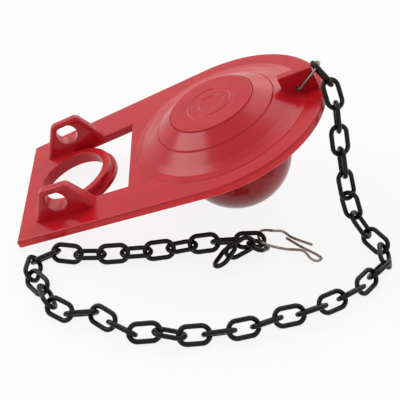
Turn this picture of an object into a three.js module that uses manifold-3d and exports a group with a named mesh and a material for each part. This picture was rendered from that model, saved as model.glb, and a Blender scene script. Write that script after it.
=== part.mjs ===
// Toilet flapper with its lift chain and two wire clips, lying on a flat surface.
// Millimetres, +Z up, the surface at Z = 0. The hinge end points to -X and the lift tab to +X.
import * as THREE from 'three';
import { mergeVertices } from 'three/addons/utils/BufferGeometryUtils.js';
import Module from 'manifold-3d';

const { degToRad } = THREE.MathUtils;

// Seat disc and the plate that runs back from it
const discRadius = 43;
const plateThickness = 3.6;
const plateReach = 86;
const backHalfWidth = 32;
const edgeRound = 0.5;

// Dome on the disc's top, in two cones and a flat crown
const rimWidth = 7;
const lowerConeWidth = 12;
const upperConeWidth = 7;
const crownHeight = 9;
const shoulderHeight = 5.2;
const footHeight = 0.3;
const lowerConeFill = 0.35;
const stepDrop = 0.4;
const stepWidth = 0.3;
const crownRings = [9.9, 7.9, 5.2];
const footRadius = discRadius - rimWidth;
const shoulderRadius = footRadius - lowerConeWidth;
const crownRadius = shoulderRadius - upperConeWidth;

// Hollow float bulb under the disc
const bulbInset = 1.5;
const bulbRadius = shoulderRadius - bulbInset;
const bulbCentreDepth = 16.6;
const bulbWall = 2.2;
const bleedHoleRadius = 4;

// Window in the plate and the collar in it
const windowFront = 39;
const windowHalfWidth = 21.3;
const armSplay = degToRad(5.5);
const collarOffset = 65;
const collarBoreRadius = 13.8;
const collarWall = 3.2;
const collarDepth = 5;
const collarLip = 1.4;
const collarLipThickness = 2;
const collarGroove = 0.4;

// Hinge ears on both sides of the collar
const earThickness = 5.7;
const earHeight = 14.5;
const earBaseHalf = 13;
const earTopBack = 4.5;
const earTopFront = 7;
const earHoleRadius = 4.4;
const earHoleHeight = 7.8;
const earRound = 1;

// Lift tab on the disc's front
const tabLength = 13.6;
const tabSetback = 2;
const tabThickness = 3.5;
const tabHeight = 9;
const tabHoleRadius = 0.9;
const tabHoleInset = 5.6;
const tabHoleHeight = 2;

// Chain links
const linkLength = 13.1;
const linkWidth = 8.2;
const linkWire = 1.9;
const hangingPlay = 0.4;
const lyingPlay = 0.5;
const chainHeight = 3.4;

// Chain's way from the front clip down to the surface, in link lengths from its first joint, and
// the roll of each hanging link in degrees, counted up from the surface
const hangingRoute = [
  [0.397, -0.496, -0.267],
  [0.58, -0.908, -0.794],
  [0.664, -1.176, -1.42],
  [0.763, -1.412, -2.053],
  [0.878, -1.649, -2.687],
  [1.038, -1.847, -3.321],
  [1.252, -2.008, -3.947],
  [1.71, -2.313, -4.473],
];
const hangingRolls = [-15, 80, 5, -75, 5, -75, 0, -55];
const routeSamples = 1000;

// Links on the surface: the heading and the roll of each, in degrees
const lyingLinks = [
  [-50, 50],
  [-95, -50],
  [-130, 50],
  [-130, -50],
  [-145, 50],
  [-150, -40],
  [-155, 45],
  [-165, -50],
  [-155, 45],
  [-165, -50],
  [-170, 50],
  [-175, -50],
  [165, 25],
  [-175, -50],
  [145, 50],
  [140, -50],
  [-175, 50],
  [145, -50],
  [110, 50],
  [130, -50],
  [85, 50],
  [35, -50],
  [-10, 50],
  [0, -15],
  [5, 50],
  [5, -10],
  [10, 50],
  [15, -10],
  [10, 50],
  [5, -50],
];

// Knot at the chain's far end. Each link: its middle, in link lengths from the joint before the
// knot, then its heading, slope and roll in degrees
const knotLinks = [
  [[0.345, -0.021, 0.025], -1, 2, 20],
  [[0.576, -0.276, 0.027], 62, -29, 11],
  [[0.031, -0.484, 0.128], 15, 25, 83],
  [[-0.408, -0.691, -0.021], -120, -8, 35],
];

// Way of the end clip's wire, in link lengths from the same joint
const endClipRoute = [
  [2.207, 0.024, -0.214],
  [1.627, 0.383, -0.214],
  [1.360, 0.612, -0.168],
  [1.080, 0.548, -0.092],
  [0.818, 0.725, -0.215],
  [0.625, 0.339, -0.022],
  [0.615, 0.234, -0.036],
  [0.690, -0.263, 0.135],
  [0.950, -0.251, -0.014],
  [1.426, -0.191, -0.194],
  [1.906, -0.408, -0.091],
  [2.093, -0.640, -0.168],
  [2.261, -0.716, -0.206],
  [2.413, -0.594, -0.214],
  [2.307, -0.441, -0.214],
  [1.910, -0.098, -0.214],
  [1.467, 0.345, -0.214],
];

// Wire clips
const clipWire = 1.05;
const clipGap = 0.3;
const frontClipReach = 11.1;
const frontClipSteps = 48;
const endClipSteps = 64;

// Way of the front clip's wire from the tab's hole: ahead and up in shares of its reach, and
// across in shares of half its width
const frontClipRoute = [
  [0.414, 1, 0.234],
  [0.234, 1, 0.09],
  [0.09, 1, 0.009],
  [0, 0.5, 0],
  [0, -0.5, 0],
  [0.09, -1, 0.009],
  [0.306, -1, 0.171],
  [0.622, -1, 0.378],
  [0.838, -0.796, 0.505],
  [0.973, -0.427, 0.577],
  [1, 0, 0.586],
  [0.973, 0.427, 0.577],
  [0.838, 0.796, 0.514],
  [0.622, 1, 0.396],
  [0.486, 1, 0.297],
];

// Chain's first joint: the place on the front clip's way that it hangs at, and its offset from
// there in link lengths
const hookPlace = 8;
const hookOffset = [-0.015, 0.057, 0.084];

// Fineness of the round forms
const discSegments = 48;
const collarSegments = 40;
const holeSegments = 12;
const sphereSteps = 6;
const linkSides = 6;
const linkSteps = 14;
const wireSides = 8;

const rubber = new THREE.MeshStandardMaterial({ color: 0xc8403f, roughness: 0.5, metalness: 0 });
const blackPlastic = new THREE.MeshStandardMaterial({ color: 0x24201d, roughness: 0.4, metalness: 0 });
const steelWire = new THREE.MeshStandardMaterial({ color: 0x9a8880, roughness: 0.3, metalness: 1 });

const wasm = await Module();
wasm.setup();

// Turns a closed three.js geometry into a solid for joining and cutting
function solidOf(geometry) {
  geometry.deleteAttribute('normal');
  geometry.deleteAttribute('uv');
  const merged = mergeVertices(geometry, 1e-4);
  const corners = merged.index.array;
  const kept = [];
  for (let i = 0; i < corners.length; i += 3) {
    const [a, b, c] = [corners[i], corners[i + 1], corners[i + 2]];
    if (a !== b && b !== c && c !== a) kept.push(a, b, c);
  }
  const mesh = new wasm.Mesh({
    numProp: 3,
    vertProperties: merged.attributes.position.array,
    triVerts: new Uint32Array(kept),
  });
  return new wasm.Manifold(mesh);
}

function geometryOf(solid) {
  const mesh = solid.getMesh();
  const geometry = new THREE.BufferGeometry();
  geometry.setAttribute('position', new THREE.BufferAttribute(mesh.vertProperties, 3));
  geometry.setIndex(new THREE.BufferAttribute(mesh.triVerts, 1));
  geometry.computeVertexNormals();
  return geometry;
}

// Revolves an outline of [radius, height] points about Z
function revolved(outline, segments = discSegments) {
  const points = outline.map(([radius, height]) => new THREE.Vector2(radius, height));
  return new THREE.LatheGeometry(points, segments).rotateX(Math.PI / 2);
}

// Points of an arc about [0, centreHeight], from one angle to another
function arc(radius, centreHeight, from, to, steps) {
  const points = [];
  for (let i = 0; i <= steps; i += 1) {
    const angle = from + ((to - from) * i) / steps;
    points.push([radius * Math.cos(angle), centreHeight + radius * Math.sin(angle)]);
  }
  return points;
}

// Plate: a round disc with straight sides tangent to it, running back to a square end, and its window
function plateSolid() {
  const reach = Math.hypot(plateReach, backHalfWidth);
  const tangent = Math.PI - Math.atan2(backHalfWidth, plateReach) - Math.acos(discRadius / reach);
  const outline = new THREE.Shape();
  outline.absarc(0, 0, discRadius, -tangent, tangent, false);
  outline.lineTo(-plateReach, backHalfWidth);
  outline.lineTo(-plateReach, -backHalfWidth);

  const backHalf = armEdge(collarOffset);
  const opening = new THREE.Path();
  opening.moveTo(-windowFront, -windowHalfWidth);
  opening.lineTo(-windowFront, windowHalfWidth);
  opening.lineTo(-collarOffset, backHalf);
  opening.lineTo(-collarOffset, -backHalf);
  outline.holes.push(opening);

  const plate = new THREE.ExtrudeGeometry(outline, {
    depth: plateThickness - 2 * edgeRound,
    bevelThickness: edgeRound,
    bevelSize: edgeRound,
    bevelOffset: -edgeRound,
    bevelSegments: 1,
    curveSegments: discSegments / 2,
  });
  return solidOf(plate.translate(0, 0, edgeRound - plateThickness));
}

// Half width between the window's splayed sides at a distance behind the disc's centre
function armEdge(behind) {
  return windowHalfWidth - Math.tan(armSplay) * (behind - windowFront);
}

// Dome, bulb and the air space inside them, open at the bleed hole
function bulbSolid() {
  const inner = bulbRadius - bulbWall;
  const innerHole = -Math.acos(bleedHoleRadius / inner);
  const outerHole = -Math.acos(bleedHoleRadius / bulbRadius);
  const crownLow = crownHeight - stepDrop;
  const [ringOuter, ringInner, ringCore] = crownRings;
  const coneMiddle = (shoulderRadius + footRadius) / 2;
  const coneMiddleHeight = lowerConeFill * shoulderHeight;
  const outline = [
    [0, crownHeight - bulbWall],
    [crownRadius - bulbWall, crownHeight - bulbWall],
    [inner, shoulderHeight - bulbWall],
    ...arc(inner, -bulbCentreDepth, 0, innerHole, sphereSteps),
    ...arc(bulbRadius, -bulbCentreDepth, outerHole, 0, sphereSteps),
    [bulbRadius, -plateThickness / 2],
    [footRadius, -plateThickness / 2],
    [footRadius, footHeight],
    [coneMiddle, coneMiddleHeight],
    [shoulderRadius + stepWidth, shoulderHeight - stepDrop],
    [shoulderRadius, shoulderHeight],
    [crownRadius + 2 * stepWidth, crownLow],
    [crownRadius + stepWidth, crownLow - stepDrop],
    [crownRadius, crownHeight],
    [ringOuter, crownHeight],
    [ringOuter - stepWidth, crownLow],
    [ringInner + stepWidth, crownLow],
    [ringInner, crownHeight],
    [ringCore, crownHeight],
    [ringCore - stepWidth, crownLow],
    [0, crownLow],
  ];
  return solidOf(revolved(outline));
}

// Collar that slips over an overflow tube, with a grooved lip on its front half
function collarSolid() {
  const outer = collarBoreRadius + collarWall;
  const lipTop = collarLipThickness - collarDepth;
  const wall = revolved([
    [collarBoreRadius, -collarDepth],
    [outer, -collarDepth],
    [outer, lipTop],
    [outer - collarGroove, lipTop + collarGroove],
    [outer, lipTop + 2 * collarGroove],
    [outer, 0],
    [collarBoreRadius, 0],
    [collarBoreRadius, -collarDepth],
  ], collarSegments);
  const lip = revolved([
    [outer - collarWall / 2, -collarDepth],
    [outer + collarLip, -collarDepth],
    [outer + collarLip, lipTop - collarGroove],
    [outer + collarLip - collarGroove, lipTop],
    [outer - collarWall / 2, lipTop],
    [outer - collarWall / 2, -collarDepth],
  ], collarSegments);
  const front = new THREE.BoxGeometry(2 * outer, 3 * outer, 3 * collarDepth).translate(outer, 0, 0);
  const collar = solidOf(wall).add(solidOf(lip).intersect(solidOf(front)));
  return collar.translate([-collarOffset, 0, 0]);
}

// One ear: an upright trapezoid with a round hole, standing along the window's splayed side
function earSolid(side) {
  const profile = new THREE.Shape();
  profile.moveTo(-earBaseHalf, -plateThickness / 2);
  profile.lineTo(earBaseHalf, -plateThickness / 2);
  profile.lineTo(earBaseHalf, earRound / 2);
  profile.lineTo(earTopFront + earRound / 2, earHeight - earRound);
  profile.quadraticCurveTo(earTopFront, earHeight, earTopFront - earRound, earHeight);
  profile.lineTo(earRound - earTopBack, earHeight);
  profile.quadraticCurveTo(-earTopBack, earHeight, -earTopBack - earRound / 2, earHeight - earRound);
  profile.lineTo(-earBaseHalf, earRound / 2);
  const hole = new THREE.Path();
  hole.absarc(0, earHoleHeight, earHoleRadius, 0, 2 * Math.PI, true);
  profile.holes.push(hole);
  const ear = new THREE.ExtrudeGeometry(profile, {
    depth: earThickness,
    bevelEnabled: false,
    curveSegments: holeSegments,
  });
  ear.rotateX(Math.PI / 2);
  ear.translate(0, side > 0 ? earThickness : 0, 0);
  ear.rotateZ(side * armSplay);
  ear.translate(-collarOffset, side * armEdge(collarOffset), 0);
  return solidOf(ear);
}

// Lift tab with the hole that the front clip hooks through
function tabSolid() {
  const tabEnd = discRadius - tabSetback;
  const profile = new THREE.Shape();
  profile.moveTo(tabEnd - tabLength, -plateThickness / 2);
  profile.lineTo(tabEnd, -plateThickness / 2);
  profile.lineTo(tabEnd, tabHeight);
  profile.lineTo(tabEnd - tabLength, tabHeight);
  const hole = new THREE.Path();
  hole.absarc(tabEnd - tabLength + tabHoleInset, tabHoleHeight, tabHoleRadius, 0, 2 * Math.PI, true);
  profile.holes.push(hole);
  const tab = new THREE.ExtrudeGeometry(profile, {
    depth: tabThickness,
    bevelEnabled: false,
    curveSegments: holeSegments / 2,
  });
  return solidOf(tab.rotateX(Math.PI / 2).translate(0, tabThickness / 2, 0));
}

// The whole moulding, drawn with its plate level and the disc's centre at the origin
function bodyGeometry() {
  const bore = new THREE.CylinderGeometry(
    collarBoreRadius,
    collarBoreRadius,
    4 * collarDepth,
    collarSegments,
  );
  const cavity = new THREE.CylinderGeometry(
    bulbRadius - bulbWall,
    bulbRadius - bulbWall,
    2 * plateThickness,
    discSegments,
  );
  const borePlug = solidOf(bore.rotateX(Math.PI / 2).translate(-collarOffset, 0, 0));
  const cavityPlug = solidOf(cavity.rotateX(Math.PI / 2).translate(0, 0, -plateThickness));
  const body = plateSolid()
    .subtract(cavityPlug)
    .add(bulbSolid())
    .add(collarSolid())
    .add(earSolid(1))
    .add(earSolid(-1))
    .add(tabSolid())
    .subtract(borePlug);
  return geometryOf(body);
}

// Tilt at which the plate's back edge and the bulb both touch the surface
function restTilt() {
  const drop = bulbCentreDepth - plateThickness;
  const span = Math.hypot(plateReach, drop);
  return Math.atan2(drop, plateReach) + Math.asin(bulbRadius / span);
}

// Round wire or cord along a smooth open curve through the given points
function wireGeometry(points, diameter, steps) {
  const section = new THREE.Shape();
  section.absarc(0, 0, diameter / 2, 0, 2 * Math.PI, false);
  const path = new THREE.CatmullRomCurve3(points, false, 'centripetal');
  return new THREE.ExtrudeGeometry(section, { extrudePath: path, steps, curveSegments: wireSides / 2 });
}

// Chain link: a ring pulled out to a long oval
function linkGeometry() {
  const endRadius = (linkWidth - linkWire) / 2;
  const stretch = (linkLength - linkWidth) / 2;
  const link = new THREE.TorusGeometry(endRadius, linkWire / 2, linkSides, linkSteps);
  const position = link.attributes.position;
  for (let i = 0; i < position.count; i += 1) {
    const x = position.getX(i);
    position.setX(i, x + Math.sign(x) * stretch);
  }
  return link;
}

const flapper = new THREE.Group();

const moulding = new THREE.Group();
const tilt = restTilt();
moulding.rotation.y = -tilt;
moulding.position.z = plateReach * Math.sin(tilt) + plateThickness * Math.cos(tilt);
flapper.add(moulding);

const body = new THREE.Mesh(bodyGeometry(), rubber);
body.name = 'flapper_body';
moulding.add(body);

moulding.updateMatrixWorld(true);

// Distances between the middles of two links that follow each other, pulled straight and lying slack
const hangingPitch = linkLength - 2 * linkWire - hangingPlay;
const lyingPitch = linkLength - 2 * linkWire - lyingPlay;

// Vector given in link lengths
function inLinks(shares) {
  return new THREE.Vector3(...shares).multiplyScalar(linkLength);
}

// Joints of the hanging links, one link apart along the route
function hangingJoints(start) {
  const points = hangingRoute.map((offset) => inLinks(offset).add(start));
  const route = new THREE.CatmullRomCurve3([start, ...points], false, 'centripetal');
  const joints = [start];
  for (const sample of route.getPoints(routeSamples)) {
    const last = joints[joints.length - 1];
    const step = sample.clone().sub(last);
    if (step.length() >= hangingPitch) joints.push(step.setLength(hangingPitch).add(last));
  }
  return joints;
}

// End of a link that lies on the surface with the given heading
function nextJoint(last, heading) {
  const drop = THREE.MathUtils.clamp(chainHeight - last.z, -lyingPitch, lyingPitch);
  const run = Math.sqrt(lyingPitch * lyingPitch - drop * drop);
  return new THREE.Vector3(run * Math.cos(heading), run * Math.sin(heading), drop).add(last);
}

// Unit vector with the given heading and slope
function directionOf(heading, slope) {
  const level = new THREE.Vector3(Math.cos(heading), Math.sin(heading), 0);
  return level.multiplyScalar(Math.cos(slope)).setZ(Math.sin(slope));
}

// Link about its middle, pointing along a direction and turned about it by the roll
function placedLink(number, middle, along, roll) {
  const level = new THREE.Vector3(-along.y, along.x, 0).normalize();
  const upright = along.clone().cross(level);
  const across = level.multiplyScalar(Math.cos(roll)).addScaledVector(upright, Math.sin(roll));
  const normal = along.clone().cross(across);
  const link = new THREE.Mesh(linkGeometry(), blackPlastic);
  link.name = `chain_link_${String(number).padStart(2, '0')}`;
  link.quaternion.setFromRotationMatrix(new THREE.Matrix4().makeBasis(along, across, normal));
  link.position.copy(middle);
  return link;
}

// Whole chain from its first joint: hanging links, lying links and the knot at the far end
function chainLinks(start) {
  const joints = hangingJoints(start);
  const hanging = joints.length - 1;
  const rolls = joints.slice(1).map((_, i) => hangingRolls[(hanging - 1 - i) % hangingRolls.length]);
  for (const [heading, roll] of lyingLinks) {
    joints.push(nextJoint(joints[joints.length - 1], degToRad(heading)));
    rolls.push(roll);
  }
  const links = rolls.map((roll, i) => {
    const along = joints[i + 1].clone().sub(joints[i]).normalize();
    const middle = joints[i].clone().lerp(joints[i + 1], 0.5);
    return placedLink(i + 1, middle, along, degToRad(roll));
  });
  const knot = new THREE.Group();
  knot.position.copy(joints[joints.length - 1]);
  for (const [offset, heading, slope, roll] of knotLinks) {
    const number = links.length + knot.children.length + 1;
    const along = directionOf(degToRad(heading), degToRad(slope));
    knot.add(placedLink(number, inLinks(offset), along, degToRad(roll)));
  }
  knot.add(endClip());
  return [...links, knot];
}

// End clip: a bent wire hooked through the first link of the knot
function endClip() {
  const clip = new THREE.Mesh(wireGeometry(endClipRoute.map(inLinks), clipWire, endClipSteps), steelWire);
  clip.name = 'end_clip';
  return clip;
}

// Points on the middle of the front clip's wire, which passes through the tab's hole
function frontClipPoints() {
  const holeAhead = discRadius - tabSetback - tabLength + tabHoleInset;
  const halfWidth = tabThickness / 2 + clipGap + clipWire / 2;
  return frontClipRoute.map(([ahead, across, up]) => {
    const offset = new THREE.Vector3(ahead * frontClipReach, across * halfWidth, up * frontClipReach);
    return offset.add(new THREE.Vector3(holeAhead, 0, tabHoleHeight));
  });
}

// Front clip: a bent wire, with its mouth open on the far side
function frontClip() {
  const clip = new THREE.Mesh(wireGeometry(frontClipPoints(), clipWire, frontClipSteps), steelWire);
  clip.name = 'front_clip';
  return clip;
}

moulding.add(frontClip());
const firstJoint = moulding.localToWorld(frontClipPoints()[hookPlace]).add(inLinks(hookOffset));
flapper.add(...chainLinks(firstJoint));

// The origin is the middle of the whole part's footprint
const footprint = new THREE.Box3().setFromObject(flapper, true);
const middle = footprint.getCenter(new THREE.Vector3());
for (const child of flapper.children) child.position.sub(middle.setZ(0));

export default flapper;
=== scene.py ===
"""Toilet flapper: the look of its moulding, its lift chain and its two wire clips.

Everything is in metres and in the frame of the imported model, with the surface it lies on at Z = 0.
"""

import logging
import math
from collections.abc import Iterator
from contextlib import contextmanager
from dataclasses import dataclass, field
from enum import Enum

import bmesh
import bpy
import numpy as np
from bpy.types import ID, Material, Mesh, Node, NodeOutputs, NodeSocket, NodeTree, Object
from mathutils import Matrix, Vector


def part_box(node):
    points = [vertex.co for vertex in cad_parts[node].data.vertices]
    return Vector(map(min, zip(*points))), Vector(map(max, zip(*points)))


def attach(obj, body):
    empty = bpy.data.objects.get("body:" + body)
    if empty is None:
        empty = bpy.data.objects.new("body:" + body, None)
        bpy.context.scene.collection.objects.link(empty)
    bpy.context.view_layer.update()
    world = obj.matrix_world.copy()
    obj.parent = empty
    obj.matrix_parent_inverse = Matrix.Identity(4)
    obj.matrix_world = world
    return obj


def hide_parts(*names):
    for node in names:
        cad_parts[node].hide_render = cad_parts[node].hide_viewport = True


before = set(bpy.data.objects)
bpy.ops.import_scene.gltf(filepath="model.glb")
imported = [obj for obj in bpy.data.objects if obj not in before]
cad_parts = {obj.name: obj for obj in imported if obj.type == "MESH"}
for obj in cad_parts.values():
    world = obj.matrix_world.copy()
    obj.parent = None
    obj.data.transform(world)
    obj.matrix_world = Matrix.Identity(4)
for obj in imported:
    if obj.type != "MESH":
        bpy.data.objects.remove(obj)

MM = 0.001
ROOT = "root"
WHITE = (1.0, 1.0, 1.0, 1.0)
WELD = 1e-7  # corners of a new mesh that are nearer than this become one
SLIVER = 1e-6  # edges of the moulding that are shorter than this, in metres, are taken out

Pair = tuple[float, float]
Point = tuple[float, float]
Triple = tuple[float, float, float]

log = logging.getLogger("toilet_flapper")


class Slot(Enum):
    """Names of the material slots."""

    RUBBER = "rubber"
    CHAIN = "chain"
    WIRE = "wire"


# ---- finishes


class Wiring:
    """Adds nodes to one tree and joins them."""

    def __init__(self, tree: NodeTree) -> None:
        """Takes over a tree, which is emptied.

        Args:
            tree: Node tree of a material, the world or a geometry group.
        """
        self.tree = tree
        self.tree.nodes.clear()

    def node(
        self, kind: str, inputs: dict[str | int, object] | None = None, **settings: object
    ) -> Node:
        """Adds a node.

        Args:
            kind: Blender's name for the node's type.
            inputs: Values or sockets for its inputs, by input name or number.
            settings: Properties of the node.

        Returns:
            The new node.
        """
        made = self.tree.nodes.new(kind)
        for name, value in settings.items():
            setattr(made, name, value)
        self.fill(made, inputs or {})
        return made

    def fill(self, node: Node, inputs: dict[str | int, object]) -> None:
        """Sets a node's inputs to values, or joins them to other nodes' outputs.

        Args:
            node: The node.
            inputs: Values or sockets, by input name or number.
        """
        for name, value in inputs.items():
            if isinstance(value, NodeSocket):
                self.tree.links.new(value, node.inputs[name])
            else:
                node.inputs[name].default_value = value

    def math(self, operation: str, *values: object) -> NodeSocket:
        """Adds a Math node.

        Args:
            operation: Name of the operation.
            values: Its inputs, as numbers or sockets.

        Returns:
            The node's output.
        """
        made = self.node("ShaderNodeMath", dict(enumerate(values)), operation=operation)
        return made.outputs[0]

    def noise(self, place: NodeSocket, grain: float, detail: float) -> NodeSocket:
        """Adds a noise pattern.

        Args:
            place: Coordinates in metres.
            grain: Size of its blots in metres.
            detail: Number of finer layers.

        Returns:
            The pattern's value, about 0.5 on average.
        """
        look = {"Vector": place, "Scale": 1.0 / grain, "Detail": detail}
        return self.node("ShaderNodeTexNoise", look).outputs["Fac"]

    def spread(
        self, value: NodeSocket, low: float, high: float, ends: Pair = (0.3, 0.7)
    ) -> NodeSocket:
        """Maps a pattern to a range.

        Args:
            value: The pattern.
            low: Result at the first end.
            high: Result at the second end.
            ends: Pattern values that give low and high.

        Returns:
            The mapped value, held inside the range.
        """
        made = self.node(
            "ShaderNodeMapRange",
            {"Value": value, "From Min": ends[0], "From Max": ends[1], "To Min": low, "To Max": high},
        )
        return made.outputs["Result"]

    def blend(self, share: object, first: object, second: object) -> NodeSocket:
        """Mixes two colours, with the inputs by number because their names repeat.

        Args:
            share: Share of the second colour.
            first: First colour.
            second: Second colour.

        Returns:
            The mixed colour.
        """
        first, second = (opaque(one) if isinstance(one, tuple) else one for one in (first, second))
        made = self.node("ShaderNodeMix", data_type="RGBA")
        self.fill(made, {0: share, 6: first, 7: second})
        return made.outputs[2]

    def reliefs(self, place: NodeSocket, layers: tuple[Triple, ...]) -> NodeSocket:
        """Adds a bump for each of some layers of noise, on top of each other.

        Args:
            place: Coordinates in metres.
            layers: Size and depth in metres and detail of each layer, from coarse to fine.

        Returns:
            The normal.
        """
        under: dict[str | int, object] = {}
        for size, depth, detail in layers:
            height = self.noise(place, size, detail)
            bump = self.node("ShaderNodeBump", {"Height": height, "Distance": depth, "Strength": 1.0})
            self.fill(bump, under)
            under = {"Normal": bump.outputs["Normal"]}
        return under["Normal"]

    def seen(self) -> NodeSocket:
        """Returns 1 for rays straight from the camera, a reflection or a clear material, else 0."""
        path = self.node("ShaderNodeLightPath").outputs
        straight = self.math("MAXIMUM", path["Is Camera Ray"], path["Is Transmission Ray"])
        return self.math("MAXIMUM", straight, path["Is Glossy Ray"])

    def circle(self, points: object, radius: object) -> NodeSocket:
        """Adds a circle curve.

        Args:
            points: Number of its points.
            radius: Its radius in metres.

        Returns:
            The curve.
        """
        made = self.node("GeometryNodeCurvePrimitiveCircle", {"Resolution": points, "Radius": radius})
        return made.outputs[0]


def new_material(name: str) -> tuple[Material, Wiring, Node, NodeSocket]:
    """Makes a material with a shader and its output joined.

    Args:
        name: Name of the material.

    Returns:
        The material, its wiring, its shader node and its place coordinates.
    """
    made = bpy.data.materials.new(name)
    made.use_nodes = True
    wiring = Wiring(made.node_tree)
    shader = wiring.node("ShaderNodeBsdfPrincipled")
    wiring.node("ShaderNodeOutputMaterial", {"Surface": shader.outputs["BSDF"]})
    place = wiring.node("ShaderNodeTexCoord").outputs["Object"]
    return made, wiring, shader, place


def opaque(colour: Triple) -> tuple[float, float, float, float]:
    """Adds a full alpha to a colour."""
    return (*colour, 1.0)


@dataclass(frozen=True)
class RubberFinish:
    """Soft red moulded rubber with a faint bloom and the fine grain of the mould, with painted light
    on the plate's outer sides and painted shade on the bulb.

    Sizes and depths are metres. Each pair of ends gives the values between which a look sets in.
    """

    red: Triple = (0.600, 0.008, 0.017)
    deep_red: Triple = (0.530, 0.005, 0.013)
    bloom: Triple = (0.620, 0.050, 0.048)
    # painted light: the plate's outer sides, below its top, are painted a paler red in place of the
    # light that falls on them
    painted_light_red: Triple = (0.880, 0.020, 0.022)
    painted_light_aside: Pair = (0.0225, 0.0300)
    painted_light_height: Pair = (-0.0012, -0.0003)
    # painted shade: the bulb is painted a darker red, fully at depth, in place of the shade under the
    # disc
    painted_shade_red: Triple = (0.420, 0.004, 0.010)
    painted_shade_height: Pair = (-0.0120, -0.0060)
    bloom_share: float = 0.22
    bloom_ends: Pair = (0.45, 0.75)
    mottle_size: float = 0.009
    cloud_size: float = 0.030
    reliefs: tuple[Triple, ...] = ((0.012, 0.00007, 1.0), (0.00045, 0.000012, 2.0))
    fleck_size: float = 0.0016
    fleck_radius: float = 0.07
    fleck_share: float = 0.25
    smoothest: float = 0.17
    roughest: float = 0.28
    rub_ends: Pair = (0.35, 0.65)
    sheen: float = 0.015
    sheen_roughness: float = 0.5
    gloss: float = 0.34

    def make(self, drawing: Matrix) -> Material:
        """Makes the material.

        Args:
            drawing: Move from the moulding's drawing to the frame.

        Returns:
            The material.
        """
        made, wiring, shader, place = new_material("red_rubber")
        cloud = wiring.noise(place, self.cloud_size, detail=2.0)
        mottle = wiring.noise(place, self.mottle_size, detail=4.0)
        colour = wiring.blend(wiring.spread(mottle, 0.0, 1.0), self.deep_red, self.red)
        bloom = wiring.spread(cloud, 0.0, self.bloom_share, self.bloom_ends)
        fleck = wiring.node("ShaderNodeTexVoronoi", {"Vector": place, "Scale": 1.0 / self.fleck_size})
        dot = wiring.spread(fleck.outputs["Distance"], 1.0, 0.0, (0.0, self.fleck_radius))
        # edge carries the painted light on the plate's outer sides, bulb the painted shade on the
        # bulb
        edge, bulb = self._zones(wiring, place, drawing)
        for share, over in (
            (bloom, self.bloom),
            (wiring.math("MULTIPLY", dot, self.fleck_share), self.bloom),
            (edge, self.painted_light_red),
            (bulb, self.painted_shade_red),
        ):
            colour = wiring.blend(share, colour, over)
        rub = wiring.math("MULTIPLY", wiring.math("ADD", cloud, mottle), 0.5)
        wiring.fill(shader, {
            "Base Color": colour,
            "Roughness": wiring.spread(rub, self.smoothest, self.roughest, self.rub_ends),
            "Normal": wiring.reliefs(place, self.reliefs),
            "Specular IOR Level": self.gloss,
            "Sheen Weight": self.sheen,
            "Sheen Roughness": self.sheen_roughness,
        })
        return made

    def _zones(
        self, wiring: Wiring, place: NodeSocket, drawing: Matrix
    ) -> tuple[NodeSocket, NodeSocket]:
        """Marks the plate's outer sides, where light is painted on as a paler red, and the bulb,
        where shade is painted on as a darker red.

        Args:
            wiring: Wiring of the material.
            place: Coordinates in metres.
            drawing: Move from the moulding's drawing to the frame.

        Returns:
            The mark of the painted light on the sides and that of the painted shade on the bulb, both
            from 0 to 1.
        """
        start = drawing.translation
        up = drawing.col[2].to_3d().normalized()
        across = wiring.node("ShaderNodeSeparateXYZ", {0: place}).outputs["Y"]
        aside = wiring.math("ABSOLUTE", wiring.math("SUBTRACT", across, start.y))
        rise = wiring.node("ShaderNodeVectorMath", {0: place, 1: tuple(up)}, operation="DOT_PRODUCT")
        below = wiring.math("SUBTRACT", rise.outputs["Value"], start.dot(up))
        outside = wiring.spread(aside, 0.0, 1.0, self.painted_light_aside)
        # the sides' mark is painted light: outside a band across the middle, and below the plate's
        # top
        edge = wiring.math("MULTIPLY", outside, wiring.spread(below, 1.0, 0.0, self.painted_light_height))
        # the bulb's mark is painted shade, full from a set depth below the disc's top
        return edge, wiring.spread(below, 1.0, 0.0, self.painted_shade_height)


@dataclass(frozen=True)
class BlackPlasticFinish:
    """Near black injection moulded plastic, a little scuffed where it rubs. Lengths are metres."""

    black: Triple = (0.0035, 0.003, 0.0025)
    brown: Triple = (0.009, 0.0065, 0.005)
    scuff: Triple = (0.050, 0.040, 0.032)
    patch_size: float = 0.006
    scuff_size: float = 0.0014
    reliefs: tuple[Triple, ...] = ((0.0024, 0.00009, 2.0), (0.0003, 0.000015, 2.0))
    worn_share: float = 0.55
    worn_ends: Pair = (0.56, 0.74)
    smoothest: float = 0.14
    roughest: float = 0.32
    rub_ends: Pair = (0.35, 0.68)
    gloss: float = 0.20

    def make(self) -> Material:
        """Makes the material."""
        made, wiring, shader, place = new_material("black_plastic")
        patch = wiring.noise(place, self.patch_size, detail=2.0)
        body = wiring.blend(wiring.spread(patch, 0.0, 1.0), self.black, self.brown)
        rub = wiring.noise(place, self.scuff_size, detail=6.0)
        worn = wiring.spread(rub, 0.0, self.worn_share, self.worn_ends)
        wiring.fill(shader, {
            "Base Color": wiring.blend(worn, body, self.scuff),
            "Roughness": wiring.spread(rub, self.smoothest, self.roughest, self.rub_ends),
            "Normal": wiring.reliefs(place, self.reliefs),
            "Specular IOR Level": self.gloss,
        })
        return made


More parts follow.
